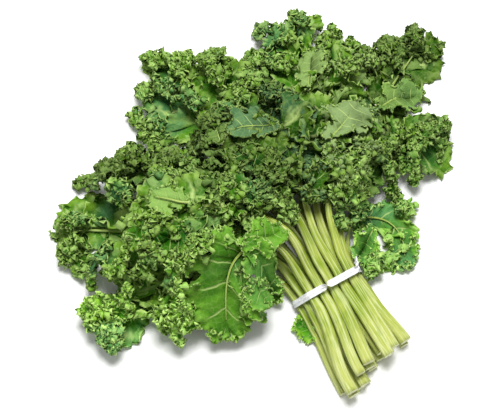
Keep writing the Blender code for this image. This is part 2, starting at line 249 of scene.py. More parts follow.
def evened(field, rounds):  # fills what is missing from what is round it, then smooths
    for _ in range(60):
        holes = np.isnan(field)
        if not holes.any():
            break
        beside = np.stack(shifted(field, "constant", constant_values=np.nan))
        known = ~np.isnan(beside)
        mean = np.where(known, beside, 0).sum(0) / np.maximum(known.sum(0), 1)
        field[holes & known.any(0)] = mean[holes & known.any(0)]
    for _ in range(rounds):
        field = sum(shifted(field, "edge")) / 9
    return field.astype(np.float32)


heightGrid = {"step": 0.004, "margin": 0.024, "heapMargin": 0.02}


def slabOf(node):  # the space that a leaf's ruffles fill, as heights on a grid
    tree = treeOf(node)
    low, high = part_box(node)
    step, margin = heightGrid["step"], heightGrid["margin"]
    nx = int((high.x - low.x + 2 * margin) / step) + 2
    ny = int((high.y - low.y + 2 * margin) / step) + 2
    x0, y0 = low.x - margin, low.y - margin
    spans = np.array([[spanAt(tree, x0 + i * step, y0 + j * step) for j in range(ny)] for i in range(nx)])
    return {"x0": x0, "y0": y0, "step": step,
            "under": evened(spans[..., 0].copy(), 3), "top": evened(spans[..., 1].copy(), 3)}


def bilinear(corner, u, v):
    near = corner(0, 0) * (1 - v) + corner(0, 1) * v
    far = corner(1, 0) * (1 - v) + corner(1, 1) * v
    return near * (1 - u) + far * u


def heightsAt(slab, x, y):
    nx, ny = slab["top"].shape
    u = np.clip((x - slab["x0"]) / slab["step"], 0, nx - 1.001)
    v = np.clip((y - slab["y0"]) / slab["step"], 0, ny - 1.001)
    i, j = u.astype(np.int32), v.astype(np.int32)
    u, v = u - i, v - j
    at = i * ny + j

    def heightOf(field):
        return bilinear(lambda a, b: np.take(field, at + a * ny + b, mode="clip"), u, v)

    return heightOf(slab["under"].ravel()), heightOf(slab["top"].ravel())


def splitFaces(lower, upper):  # between two rings, the upper one with as many parts or twice as many
    if len(lower) == len(upper):
        return [(lower[k], lower[k + 1], upper[k + 1], upper[k]) for k in range(len(lower) - 1)]
    faces = []
    for k in range(len(lower) - 1):
        faces.append((lower[k], upper[2 * k + 1], upper[2 * k]))
        faces.append((lower[k], lower[k + 1], upper[2 * k + 1]))
        faces.append((lower[k + 1], upper[2 * k + 2], upper[2 * k + 1]))
    return faces


def bladeNet(level):
    lobes, columns, rows = level["lobes"], level["columns"], len(level["inner"])
    wide = lobes * columns + 1
    around, share, lobe, side, faces = [], [], [], [], []
    for row, inner in enumerate(level["inner"]):
        around.append(np.arange(wide) / (wide - 1))
        share.append(np.full(wide, inner - 1.0))
        lobe.append(np.minimum(np.arange(wide) // columns, lobes - 1))
        side.append(np.zeros(wide))
        if row:
            faces += splitFaces(range((row - 1) * wide, row * wide), range(row * wide, (row + 1) * wide))
    total = rows * wide
    for i in range(lobes):
        first = (rows - 1) * wide + i * columns
        lower = range(first, first + columns + 1)
        for out, factor in level["outer"]:
            many = columns * factor + 1
            upper = range(total, total + many)
            total += many
            side.append(np.linspace(-1, 1, many))
            around.append((i + (side[-1] + 1) / 2) / lobes)
            share.append(np.full(many, out))
            lobe.append(np.full(many, i))
            faces += splitFaces(lower, upper)
            lower = upper
    faces = [face[::-1] for face in faces]
    net = {"around": np.concatenate(around), "share": np.concatenate(share), "lobe": np.concatenate(lobe),
           "side": np.concatenate(side), "faces": faces, "level": level, "wide": wide}
    place = np.arange(wide) / columns
    beside = 2 * (place - np.minimum(place.astype(int), lobes - 1)) - 1
    net["beside"] = net["side"].copy()
    net["beside"][: rows * wide] = np.tile(beside, rows)
    net["joins"] = joinsOf(net)
    net["quads"] = np.array([face if len(face) == 4 else (*face, face[2]) for face in faces])
    number = np.arange(total)
    ends = (net["side"] == 1) & (net["share"] > 0)
    ends[wide - 1 : rows * wide : wide] = True
    starts = np.roll(ends, 1)
    net["after"] = np.where(ends, number, number + 1)
    net["before"] = np.where(starts, number, number - 1)
    return net


def normalsOf(points, net):
    quads = net["quads"]
    corner = points[quads]
    normal = np.cross(corner[:, 2] - corner[:, 0], corner[:, 3] - corner[:, 1])
    thin = quads[:, 2] == quads[:, 3]
    normal[thin] = np.cross(corner[thin, 1] - corner[thin, 0], corner[thin, 2] - corner[thin, 0])
    total = np.stack([sum(np.bincount(quads[:, k], normal[:, axis], len(points)) for k in range(4))
                      for axis in range(3)], 1)
    return unit(total, 1e-12)


def joinsOf(net):
    count = len(net["around"])
    faces = np.array([face if len(face) == 4 else (*face, face[0]) for face in net["faces"]])
    pairs = np.concatenate([faces[:, [a, b]] for a in range(4) for b in range(4) if a != b])
    codes = np.unique(pairs[:, 0] * count + pairs[:, 1])
    own, other = np.divmod(codes, count)
    own, other = own[own != other], other[own != other]
    return {"own": own, "other": other, "starts": np.searchsorted(own, np.arange(count)),
            "count": np.bincount(own).astype(np.float32)}


def bladeOutline(theta, length, halfWidth, sides):
    outline, tip = blades["outline"], blades["outline"]["rounded"]
    shares = np.linspace(0, 1, 600)
    rise = np.interp(shares, outline["at"], outline["wide"])
    ending = np.sqrt(np.clip(1 - (np.clip(shares - (1 - tip), 0, None) / tip) ** 2, 0, None))
    u = shares * length
    v = halfWidth * rise * ending
    arc = np.concatenate([[0], np.cumsum(np.hypot(np.diff(u), np.diff(v)))])
    uRib = np.maximum.accumulate(np.clip(u - blades["veinLean"] * v, 0, blades["ribShare"] * length))
    along = (1 - np.abs(2 * theta - 1)) * arc[-1]
    rib, edgeU, edgeV = (np.interp(along, arc, values) for values in (uRib, u, v))
    meet, over = blades["sidesMeet"]
    wide = sides[0] + (sides[1] - sides[0]) * smoothStep((theta - meet) / over)
    return rib, np.stack([edgeU - rib, np.where(theta < 0.5, edgeV, -edgeV)], 1) * wide[:, None]


def bladeShape(net, length, halfWidth, look, lobeTable):
    lobes = net["level"]["lobes"]
    rib, out = bladeOutline(net["around"], length, halfWidth, look["sides"])
    share, side, lobe, fixed = net["share"], net["side"], net["lobe"], look["whole"]
    outer = np.clip(share, 0, 1)
    t = np.where(share > 0, fixed + outer * (1 - fixed), (share + 1) * fixed)
    middles = bladeOutline((np.arange(lobes) + 0.5) / lobes, length, halfWidth, look["sides"])[1]
    size = np.hypot(*middles.T)
    ahead = (middles / size[:, None])[lobe]
    size = size * look["grown"]
    beside = np.stack([ahead[:, 1], -ahead[:, 0]], 1)
    turn = np.radians(look["spread"]) * side + lobeTable["turn"][lobe]
    reach = (1 - fixed) * (size * lobeTable["size"])[lobe] * (1 - folding["rounded"] * side ** 2)
    notches = np.abs(np.sin(0.5 * math.pi * look["notches"] * side + 2.1 * lobe)) ** 0.6
    reach *= 1 + look["notchDepth"] * outer ** 2 * (notches - 0.75)
    ray = ahead * np.cos(turn)[:, None] + beside * np.sin(turn)[:, None]
    lift = np.radians(lobeTable["lift"])[lobe]
    whole = out * np.minimum(t, fixed)[:, None]
    flat = whole + ray * (outer * reach)[:, None]
    raised = ahead * (np.cos(turn) * np.cos(lift))[:, None] + beside * np.sin(turn)[:, None]
    lifted = whole + raised * (outer * reach)[:, None]
    height = outer * reach * np.cos(turn) * np.sin(lift)
    away = np.where((share <= 0)[:, None], out / (np.hypot(*out.T)[:, None] + 1e-9), ray)
    return {"t": t, "rib": rib, "flat": flat, "away": away, "lifted": lifted, "height": height}


# how a blade folds into its room
folding = {
    "rounds": 120,
    "longer": 1.05,      # its lengths outward, and "curl" in a look is for those along the margin
    "uneven": (5, 0.12),  # waves round the blade, and their height
    "speedKept": 0.8,
    "roomPull": 0.3,
    "clear": 0.0008,     # of what lies beneath
    "startsAt": 0.4,     # of the height of its room
    "turned": 0.2,       # how far a lobe is turned aside, in radians
    "rounded": 0.22,     # how much shorter a lobe is at its sides
}


def gathered(values, joins):
    return np.add.reduceat(values, joins["starts"], axis=1) / joins["count"]


def differences(values, joins):
    ends = (np.take(values, joins[side], axis=1, mode="clip") for side in ("other", "own"))
    return np.subtract(*ends)


def smoothed(values, joins, rounds):
    for _ in range(rounds):  # nearly all the way to the mean of what it joins
        values = values + 0.9 * gathered(differences(values, joins), joins)
    return values


def restLengths(net, shape, look, waviness):  # how long each join would be if it had the room
    joins, t = net["joins"], shape["t"]
    own, other = joins["own"], joins["other"]
    flat = np.stack([shape["rib"], np.zeros_like(t)], 1) + shape["flat"]
    d = flat[other] - flat[own]
    away = shape["away"][own]
    dr = (d * away).sum(1)
    ds = d[:, 0] * away[:, 1] - d[:, 1] * away[:, 0]
    middle = (0.5 * (t[own] + t[other]) - look["whole"]) / (1 - look["whole"])
    grown = 1 + (look["curl"] * waviness[own] - 1) * smoothStep((middle + 0.1) / 0.8)
    return np.hypot(dr * folding["longer"], ds * grown).astype(np.float32)


def folded(points, joins, rest, held, slab, look):  # every length is drawn out until it folds in its room
    x = np.ascontiguousarray(points.T, dtype=np.float32)
    speed = np.zeros_like(x)
    rounds = folding["rounds"]
    for k in range(rounds):
        d = differences(x, joins)
        size = np.sqrt(d[0] * d[0] + d[1] * d[1] + d[2] * d[2]) + 1e-9
        ease = min(1.0, 0.5 + 1.0 * k / rounds)
        pull = gathered(d * (1 - (ease * rest + (1 - ease) * np.minimum(size, rest)) / size), joins)
        curve = gathered(d, joins)
        bend = gathered(differences(curve, joins), joins)
        speed = folding["speedKept"] * speed + pull - look["stiff"] * bend
        speed[:, held] = 0
        x += speed
        under, top = heightsAt(slab, x[0], x[1])
        x[2] += folding["roomPull"] * (np.clip(x[2], under + folding["clear"], top + look["room"]) - x[2])
    return x.T


def placed(shape, line, way, start, off):
    ahead = headingsOf(line)
    at = start + shape["rib"]
    x, y = (np.interp(at, way, line[:, k]) for k in (0, 1))
    ax, ay = (np.interp(at, way, ahead[:, k]) for k in (0, 1))
    forward, side = off.T
    return x + forward * ax + side * ay, y + forward * ay - side * ax


def fromGrid(grid, i, j, own=()):  # own: which grid of a stack, for each point
    rows, columns = grid.shape[-3:-1]
    r = np.clip(i.astype(int), 0, rows - 2)
    c = np.clip(j.astype(int), 0, columns - 2)
    return bilinear(lambda a, b: grid[(*own, r + a, c + b)], (i - r)[:, None], (j - c)[:, None])


def refined(coarse, fine, points):  # a coarse net's points carried over to a fine net
    lobes, level = coarse["level"]["lobes"], coarse["level"]
    wide, columns = coarse["wide"], level["columns"]
    made = np.zeros((len(fine["around"]), 3), np.float32)
    whole = len(level["inner"])
    grid = points[: whole * wide].reshape(whole, wide, 3)
    inner = fine["share"] <= 0
    i = np.interp(fine["share"][inner] + 1, level["inner"], np.arange(whole))
    made[inner] = fromGrid(grid, i, fine["around"][inner] * (wide - 1))
    outs = [0.0] + [out for out, factor in level["outer"]]
    lobed = points[whole * wide :].reshape(lobes, len(outs) - 1, columns + 1, 3)
    joint = np.stack([grid[-1, k * columns : (k + 1) * columns + 1] for k in range(lobes)])[:, None]
    lobed = np.concatenate([joint, lobed], 1)
    outer = ~inner
    i = np.interp(fine["share"][outer], outs, np.arange(len(outs)))
    made[outer] = fromGrid(lobed, i, (fine["side"][outer] + 1) / 2 * columns, (fine["lobe"][outer],))
    return made


def growBlade(nets, line, way, start, length, halfWidth, look, slab, rng):
    coarse, fine = nets["coarse"], nets["fine"]
    lobes, turned = fine["level"]["lobes"], folding["turned"]
    lift = np.resize(look["lift"], lobes) + look["liftUneven"] * rng.uniform(-1, 1, lobes)
    lobeTable = {"lift": rng.permutation(lift), "turn": rng.uniform(-turned, turned, lobes),
                 "size": 1 + look["lobeUneven"] * rng.uniform(-1, 1, lobes)}
    shape = bladeShape(coarse, length, halfWidth, look, lobeTable)
    t = shape["t"]
    x, y = placed(shape, line, way, start, shape["flat"])
    under, top = heightsAt(slab, x, y)
    x, y = placed(shape, line, way, start, shape["lifted"])
    points = np.stack([x, y, under + (top - under) * folding["startsAt"] + shape["height"]], 1)
    bumps = smoothed(rng.standard_normal((3, len(t))), coarse["joins"], 4)
    loose = smoothStep((t - 0.5 * look["whole"]) / 0.3)
    points += (bumps / bumps.std(1)[:, None] * look["wave"] * loose).T
    waves, height = folding["uneven"]
    uneven = 1 + height * np.sin(2 * math.pi * waves * coarse["around"] + rng.uniform(0, 6))
    rest = restLengths(coarse, shape, look, uneven)
    points = folded(points, coarse["joins"], rest, t == 0, slab, look)
    shape = bladeShape(fine, length, halfWidth, look, lobeTable)
    rough = refined(coarse, fine, points)
    points = smoothed(rough.T, fine["joins"], 8).T
    points += (rough - points) * (1 - smoothStep(shape["t"] / (0.5 * look["whole"])))[:, None]
    points = frilled(points, fine, shape, look, rng)
    return points, shape


# how the waves, the toothed margin and the crests of a blade are shaped
frills = {
    "lobeParts": (0.3, 4),       # still near where the lobes part: up to this share, falling with this power
    "fine": (15, 0.35),          # ruffles of more waves than this are this wide at a lobe's foot
    "sway": 1.6, "swayWaves": 5,
    "toothGap": 0.0025, "toothSpread": (-0.4, 1.2),
    "crest": 0.003, "crestBumps": 0.25,   # the height that counts as a full crest
}


def frilled(points, net, shape, look, rng):
    lobes, lobe, side, share = net["level"]["lobes"], net["lobe"], net["beside"], net["share"]
    outer = np.clip(share, 0, 1)

    def wavy(size):
        first, second, third = rng.uniform(0, 2 * math.pi, (3, lobes))[:, lobe]
        return size * (np.sin(2.3 * side + first) + 0.7 * np.sin(5.1 * side + second)
                       + 0.5 * np.sin(3.0 * outer + third))

    still, power = frills["lobeParts"]
    window = 1 - (1 - smoothStep(share / still)) * side ** power
    crest = np.zeros(len(side))
    for waves, height, curl, flare, begin in look["ruffles"]:
        normal = normalsOf(points, net)
        tangent = unit(points[net["after"]] - points[net["before"]], 1e-12)
        up = np.cross(tangent, normal)
        fineFrom, foot = frills["fine"]
        width = 1 if waves < fineFrom else foot + (1 - foot) * outer
        turn = math.pi * waves * side * width + rng.uniform(0, 6, lobes)[lobe] + wavy(0.8)
        turn += frills["sway"] * np.sin(frills["swayWaves"] * outer + rng.uniform(0, 6, lobes)[lobe])
        grown = smoothStep((share - begin) / (1 - begin)) * window * (1 + 0.3 * wavy(0.6))
        crest += height * grown * np.sin(turn)
        points = points + (normal * (height * grown * np.sin(turn))[:, None]
                           - tangent * (curl * grown * np.sin(2 * turn))[:, None]
                           + up * (flare * grown * np.cos(turn))[:, None])
    # every second point of the margin is a tooth
    tooth = look["tooth"] * rng.uniform(*frills["toothSpread"], len(side)) * (np.arange(len(side)) % 2)
    tooth = np.where(share >= 1, tooth, 0)
    outward = np.cross(points[net["after"]] - points[net["before"]], normal)
    points = points - outward * (tooth / frills["toothGap"])[:, None]
    bumps = smoothed(rng.standard_normal((1, len(side))), net["joins"], 3)[0]
    loose = smoothStep(shape["t"] / (0.6 * look["whole"]))
    shape["crest"] = crest / frills["crest"] + frills["crestBumps"] * bumps / bumps.std()
    return points + normalsOf(points, net) * (bumps / bumps.std() * look["pucker"] * loose)[:, None]


def thickened(points, net, t):  # a sheet with two sides and a rim; what meets the table lies flat on it
    count = len(points)
    total = normalsOf(points, net)
    half = blades["thickness"] * (1 - blades["thinner"] * t)[:, None] / 2
    edges = {(face[k], face[(k + 1) % len(face)]) for face in net["faces"] for k in range(len(face))}
    rim = [(b, a, count + a, count + b) for a, b in edges if (b, a) not in edges]
    made = net["faces"] + [tuple(count + k for k in reversed(face)) for face in net["faces"]] + sorted(rim)
    sides = [0] * len(net["faces"]) + [1] * len(net["faces"]) + [0] * len(rim)
    sheet = np.concatenate([points + total * half, points - total * half])
    top = sheet[:count, 2] >= sheet[count:, 2]
    floor = np.concatenate([np.where(top, 2.0, 1.0), np.where(top, 1.0, 2.0)]) * blades["table"]
    high = np.maximum(sheet[:, 2] - blades["crown"]["from"], 0)
    sheet[:, 2] -= high * blades["crown"]["pressed"]
    sheet[:, 2] = np.maximum(sheet[:, 2], floor)
    return sheet, made, sides


stalks = {
    "sides": 16,
    "uneven": 0.18,      # how much thicker or thinner than their own size
    "squeezed": 0.90,    # where the tie holds them
    "taper": {"at": (-0.11, 0), "size": (1.08, 1.0, 0.55, 0.13)},   # cut, tie, the blade's start and its end
    "stray": (0.0035, 0.0030),   # sideways, below and above the tie
    "strayOver": (0.09, 0.04, 0.03),   # it grows over these lengths, and above it ends over the last one
    "sway": ((0.25, 45), (0.5, 60)),   # below and above: its share of the straying, and radians to a metre
    "held": 0.010,       # this near the tie they keep their place
    "free": (0.006, 0.016),      # from the tie, they are their own size from here and over this length
    "leftward": 1.0,     # the cut ends, as a share of their straying
    "cutUneven": 0.004,
    "shorter": 0.005,
    "shorterOver": (0.03, 0.05),
    "toBlade": (0.012, 0.024),   # from before the blade's start, over this length, they rise into the blade
    "ridges": ((5, 0.045), (9, 0.025)),      # how many round a stalk, and their height
    "section": {"wide": 1.08, "high": 0.92, "flatAbove": 0.62, "flatness": 0.35},
    "cutEnd": {"inner": 0.80, "hollow": 0.0006},
    "lowest": 0.0001,
    "inBlade": 0.55,     # how high in the blade's room the midrib runs
}


def strayed(line, heights, way, start, rng):
    ahead = headingsOf(line)
    beside = np.stack([ahead[:, 1], -ahead[:, 0]], 1)
    overBelow, overAbove, end = stalks["strayOver"]
    below = smoothStep((-way - stalks["held"]) / overBelow) * stalks["stray"][0]
    above = smoothStep((way - stalks["held"]) / overAbove) * smoothStep((start + end - way) / end)
    above *= stalks["stray"][1]
    (low, lowWaves), (high, highWaves) = stalks["sway"]
    aside = rng.uniform(-1, 1) - stalks["leftward"]
    sway = below * (aside + low * np.sin(lowWaves * way + rng.uniform(0, 6)))
    sway += above * (rng.uniform(-1, 1) + high * np.sin(highWaves * way + rng.uniform(0, 6)))
    drawn = line + beside * sway[:, None]
    cut = rng.uniform(-1, 1) * stalks["cutUneven"] - stalks["shorter"]
    begin, over = stalks["shorterOver"]
    drawn -= ahead * (cut * smoothStep((-way - begin) / over))[:, None]
    return np.column_stack([drawn, heights])


def stalkHeights(name, line, way, start, slab):
    tree = treeOf(name)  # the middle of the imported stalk, and beyond it a height within the blade's room
    heights = np.array([sum(spanAt(tree, x, y)) / 2 for x, y in line])
    known = ~np.isnan(heights)
    heights = np.interp(way, way[known], heights[known])
    under, top = heightsAt(slab, line[:, 0], line[:, 1])
    before, over = stalks["toBlade"]
    blend = smoothStep((way - start + before) / over)
    heights = heights * (1 - blend) + (under + stalks["inBlade"] * (top - under)) * blend
    return eased(heights, 6)


def tubeFaces(rings, many):
    return [(r * many + k, r * many + n, (r + 1) * many + n, (r + 1) * many + k)
            for r in range(rings - 1) for k, n in zip(range(many), (*range(1, many), 0))]


def stalkTube(points, radii, sides, rng):
    section, cutEnd = stalks["section"], stalks["cutEnd"]
    ahead = unit(np.gradient(points, axis=0))
    side = unit(np.cross(ahead, (0, 0, 1)))
    up = np.cross(side, ahead)
    angle = 2 * math.pi * np.arange(sides) / sides
    ridges = 1
    for waves, height in stalks["ridges"]:
        ridges = ridges + height * np.sin(waves * angle + rng.uniform(0, 6))
    wide = section["wide"] * np.cos(angle) * ridges
    high = section["high"] * np.sin(angle) * ridges
    level = section["flatAbove"]
    high = np.where(high > level, level + section["flatness"] * (high - level), high)
    ring = side[:, None] * wide[None, :, None] + up[:, None] * high[None, :, None]
    made = points[:, None] + ring * radii[:, None, None]
    count = len(points)
    faces = tubeFaces(count, sides)
    verts = made.reshape(-1, 3)
    verts[:, 2] = np.maximum(verts[:, 2], stalks["lowest"])
    # the cut end, a little hollow in the middle, and the tip
    end = len(verts)
    last = (count - 1) * sides
    inner = points[0] + (made[0] - points[0]) * cutEnd["inner"]
    hollow, tip = points[0] + ahead[0] * cutEnd["hollow"], points[-1] + ahead[-1] * radii[-1]
    verts = np.concatenate([verts, inner, [hollow], [tip]])
    for k in range(sides):
        n = (k + 1) % sides
        faces += [(n, k, end + k, end + n), (end + n, end + k, end + sides)]
        faces.append((last + k, last + n, end + sides + 1))
    kinds = [2] * (sides * (count - 1)) + [3, 3, 2] * sides
    return verts, faces, kinds


def stalkPiece(points, radii, along, sides, rng):
    verts, faces, kinds = stalkTube(points, radii, sides, rng)
    rings = len(points)
    angle = np.tile(np.arange(sides) / sides, rings)
    tube = np.stack([angle, np.repeat(along, sides), np.ones(rings * sides)], 1)
    ends = np.tile([[0, along[0], 1]], (len(verts) - len(tube), 1))
    return {"points": verts, "faces": faces, "kinds": kinds, "places": np.concatenate([tube, ends])}


def bladePiece(points, net, shape, flipped):
    sheet, faces, kinds = thickened(points, net, shape["t"])
    if flipped:
        kinds = [1 - kind for kind in kinds]
    halves = [np.stack([net["around"], shape["t"], crest], 1) for crest in (shape["crest"], -shape["crest"])]
    return {"points": sheet, "faces": faces, "kinds": kinds, "places": np.concatenate(halves)}


def growLeaf(name, seed):
    rng = np.random.default_rng(seed)
    look = lookOf(name)
    reach, blade, halfWidth, size = leafLines[name][4:]
    line, way = leafLine(name)
    start = reach - blade
    slab = slabOf(name)
    points, shape = growBlade(nets["whole leaf"], line, way, start, blade, halfWidth, look, slab, rng)
    heights = stalkHeights(name, line, way, start, slab)
    ribEnd = start + blades["ribShare"] * blade
    sizes = np.array(stalks["taper"]["size"]) * (1, 1, look["rib"], look["rib"])
    taper = np.interp(way, stalks["taper"]["at"] + (start, ribEnd), sizes)
    stalk = strayed(line, heights, way, start, rng)
    uneven = stalks["uneven"] * rng.uniform(-1, 1)
    begin, over = stalks["free"]
    free = smoothStep((np.abs(way) - begin) / over)
    squeezed = stalks["squeezed"] + (1 + uneven - stalks["squeezed"]) * free
    radii = bunch["stalkRadius"] * size * taper * squeezed
    shown = np.flatnonzero(way <= ribEnd)[::2]
    return [bladePiece(points, nets["whole leaf"]["fine"], shape, False),
            stalkPiece(stalk[shown], radii[shown], way[shown], stalks["sides"], rng)]


def joined(name, pieces):
    mesh = bpy.data.meshes.new(name + "_kale")
    starts = np.cumsum([0] + [len(piece["points"]) for piece in pieces])
    faces = [tuple(start + k for k in face)
             for piece, start in zip(pieces, starts.tolist()) for face in piece["faces"]]
    mesh.from_pydata(np.concatenate([piece["points"] for piece in pieces]).tolist(), [], faces)
    mesh.polygons.foreach_set("material_index", [kind for piece in pieces for kind in piece["kinds"]])
    mesh.shade_smooth()
    places = np.concatenate([piece["places"] for piece in pieces]).astype(np.float32)
    mesh.attributes.new("leafPlace", "FLOAT_VECTOR", "POINT").data.foreach_set("vector", places.ravel())
    made = put(name + "_kale", mesh)
    for finish in leafFinishes(name, lookOf(name)):
        mesh.materials.append(finish)
    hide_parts(name)
    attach(made, "root")


# lobes that lie over the heap or at its rim; places are from the tie, in metres
# in a kind, "clear" is how far the tufts keep away, "under" is a height to lie at and "rib" scales the rib
turnedLobes = {
    "rise": 0.003,    # over the leaves beneath
    "slab": 0.001,
    "room": 0.006,
    "rib": (0.0013, 0.0004),
    "ribSides": 8, "ribRise": 0.0005,
    "ribColour": 0.2,     # as on a stalk this far from the tie
    "stations": 24,
    "kinds": {
        "turned over": {"flipped": True, "clear": 0.010},
        "smooth": {"clear": 0.011, "rib": 0.5},
        "frilly": {"look": "default"},
        "low": {"look": "default", "onTable": True, "net": "tuft", "rib": 0},
        "low smooth": {"onTable": True},
        "flat": {"under": 0.001, "rib": 0.5},
        "beneath": {"look": "default", "under": 0.006, "net": "tuft", "rib": 0},
    },
    "lobes": (  # leaf, start, end, half width, kind
        ("middle_leaf_6", (0.140, 0.140), (0.200, 0.135), 0.022, "turned over"),
        ("middle_leaf_5", (0.080, 0.175), (0.115, 0.225), 0.021, "turned over"),
        ("top_leaf_4", (0.030, 0.150), (-0.020, 0.165), 0.027, "turned over"),
        ("top_leaf_5", (0.065, 0.110), (0.120, 0.135), 0.027, "turned over"),
        ("top_leaf_2", (-0.090, 0.110), (-0.120, 0.140), 0.020, "turned over"),
        ("top_leaf_3", (-0.030, 0.155), (-0.020, 0.190), 0.013, "turned over"),
        ("middle_leaf_4", (0.005, 0.185), (-0.005, 0.205), 0.014, "turned over"),
        ("top_leaf_1", (-0.065, 0.055), (-0.015, 0.055), 0.021, "smooth"),
        ("top_leaf_1", (-0.065, 0.060), (-0.045, 0.010), 0.024, "smooth"),
        ("top_leaf_1", (-0.070, 0.030), (-0.065, 0.000), 0.020, "smooth"),
        ("bottom_leaf_7", (0.070, 0.030), (0.030, 0.005), 0.019, "low smooth"),
        ("top_leaf_1", (-0.080, 0.025), (-0.070, -0.005), 0.020, "low smooth"),
        ("bottom_leaf_1", (-0.030, -0.040), (-0.045, -0.010), 0.014, "flat"),
        ("top_leaf_2", (-0.005, 0.060), (-0.015, 0.100), 0.018, "frilly"),
        ("top_leaf_5", (0.060, 0.070), (0.055, 0.105), 0.018, "frilly"),
        ("middle_leaf_6", (0.075, 0.055), (0.080, 0.090), 0.018, "frilly"),
        ("bottom_leaf_4", (-0.065, 0.240), (-0.080, 0.265), 0.020, "low"),
        ("bottom_leaf_4", (-0.035, 0.260), (-0.045, 0.275), 0.018, "low"),
        ("bottom_leaf_4", (0.000, 0.280), (0.005, 0.295), 0.016, "low"),
        ("middle_leaf_4", (0.025, 0.265), (0.035, 0.280), 0.016, "low"),
        ("middle_leaf_4", (0.010, 0.260), (0.035, 0.290), 0.018, "low"),
        ("bottom_leaf_5", (0.065, 0.245), (0.060, 0.270), 0.020, "low"),
        ("bottom_leaf_5", (0.100, 0.250), (0.085, 0.295), 0.022, "low"),
        ("bottom_leaf_5", (0.130, 0.225), (0.160, 0.250), 0.016, "low"),
        ("bottom_leaf_3", (-0.140, 0.195), (-0.155, 0.235), 0.018, "low"),
        ("bottom_leaf_3", (-0.060, 0.205), (-0.080, 0.230), 0.020, "low"),
        ("bottom_leaf_2", (-0.170, 0.130), (-0.210, 0.140), 0.022, "low"),
        ("bottom_leaf_2", (-0.180, 0.125), (-0.205, 0.115), 0.018, "low"),
        ("bottom_leaf_2", (-0.195, 0.160), (-0.215, 0.155), 0.016, "low"),
        ("bottom_leaf_1", (-0.205, 0.085), (-0.225, 0.075), 0.016, "low"),
        ("bottom_leaf_1", (-0.135, 0.040), (-0.155, 0.015), 0.020, "low"),
        ("bottom_leaf_1", (-0.200, 0.060), (-0.215, 0.045), 0.022, "low"),
        ("middle_leaf_6", (0.115, 0.075), (0.115, 0.045), 0.018, "low"),
        ("bottom_leaf_7", (0.070, 0.070), (0.060, 0.035), 0.020, "low"),
        ("middle_leaf_6", (0.055, 0.075), (0.040, 0.035), 0.013, "frilly"),
        ("middle_leaf_3", (-0.025, 0.185), (-0.055, 0.180), 0.022, "low"),
        ("middle_leaf_3", (-0.040, 0.170), (-0.040, 0.195), 0.018, "low"),
        ("middle_leaf_4", (0.050, 0.225), (0.035, 0.205), 0.018, "low"),
        ("middle_leaf_5", (0.170, 0.195), (0.150, 0.185), 0.016, "low"),
        ("bottom_leaf_5", (0.180, 0.190), (0.150, 0.175), 0.020, "beneath"),
        ("bottom_leaf_3", (-0.035, 0.195), (-0.055, 0.175), 0.022, "beneath"),
        ("bottom_leaf_4", (0.055, 0.225), (0.030, 0.205), 0.020, "beneath"),
        ("middle_leaf_6", (0.135, 0.085), (0.135, 0.050), 0.017, "low"),
        ("bottom_leaf_5", (0.155, 0.210), (0.170, 0.230), 0.016, "low"),
        ("bottom_leaf_6", (0.185, 0.190), (0.190, 0.210), 0.015, "low"),
        ("bottom_leaf_4", (-0.050, 0.270), (-0.060, 0.285), 0.018, "low"),
        ("bottom_leaf_4", (-0.065, 0.225), (-0.080, 0.240), 0.017, "low"),
        ("bottom_leaf_7", (0.110, 0.040), (0.115, 0.025), 0.015, "low"),
        ("bottom_leaf_1", (-0.205, 0.065), (-0.210, 0.045), 0.016, "low"),
        ("middle_leaf_1", (-0.050, 0.030), (-0.045, 0.010), 0.013, "low smooth"),
        ("bottom_leaf_7", (0.055, 0.005), (0.040, -0.010), 0.014, "low"),
    ),
}


def heapOf(leaves):  # the heap's top on a grid, and which leaf's blade is uppermost
    pieces = [piece for leaf in leaves.values() for piece in leaf]
    points = np.concatenate([piece["points"] for piece in pieces])
    owners = np.concatenate([np.full(len(piece["points"]), number if piece is leaf[0] else -1)
                             for number, leaf in enumerate(leaves.values()) for piece in leaf])
    order = np.argsort(points[:, 2])
    step = heightGrid["step"]
    x0, y0 = points[:, :2].min(0) - heightGrid["heapMargin"]
    i = ((points[:, 0] - x0) / step).astype(int)
    j = ((points[:, 1] - y0) / step).astype(int)
    top = np.full((i.max() + 6, j.max() + 6), -1.0)
    owner = np.full(top.shape, -2)
    np.maximum.at(top, (i, j), points[:, 2])
    owner[i[order], j[order]] = owners[order]
    top = widened(top, np.max)
    onTable = evened(np.maximum(top, 0.0), 2)
    top[top < 0] = np.nan
    return {"x0": x0, "y0": y0, "step": step, "top": evened(top, 2), "onTable": onTable, "owner": owner}


def widened(field, pick):
    return pick(shifted(field, "edge"), axis=0)


# small frilled lobes all over the heap, where no smooth lobe lies
tufts = {
    "gap": 0.0255,
    "length": (0.028, 0.040),
    "half": (0.50, 0.60),      # as a share of the length
    "broad": 0.4,              # how many are broader and less frilled, and by how much
    "broader": 1.25,
    "atRim": 0.75,             # how much shorter near the rim
    "flipped": 0.15,           # how many show their underside
    "within": 2,               # cells of the heap's rim left free
    "without": ("top_leaf_1", "bottom_leaf_7"),
    "outward": 0.9,            # how much they follow the leaf's own line
    "turned": 0.5,
    "before": 0.45,            # how much of a tuft lies before its place
}


def smoothLobes():
    kinds = turnedLobes["kinds"]
    return [(np.array(start), np.array(end), half + kinds[kind]["clear"])
            for name, start, end, half, kind in turnedLobes["lobes"] if "clear" in kinds[kind]]


def onSmooth(at, lobes):
    for start, end, clear in lobes:
        along = np.clip((at - start) @ (end - start) / ((end - start) @ (end - start)), 0, 1)
        if np.hypot(*(at - start - along * (end - start))) < clear:
            return True
    return False


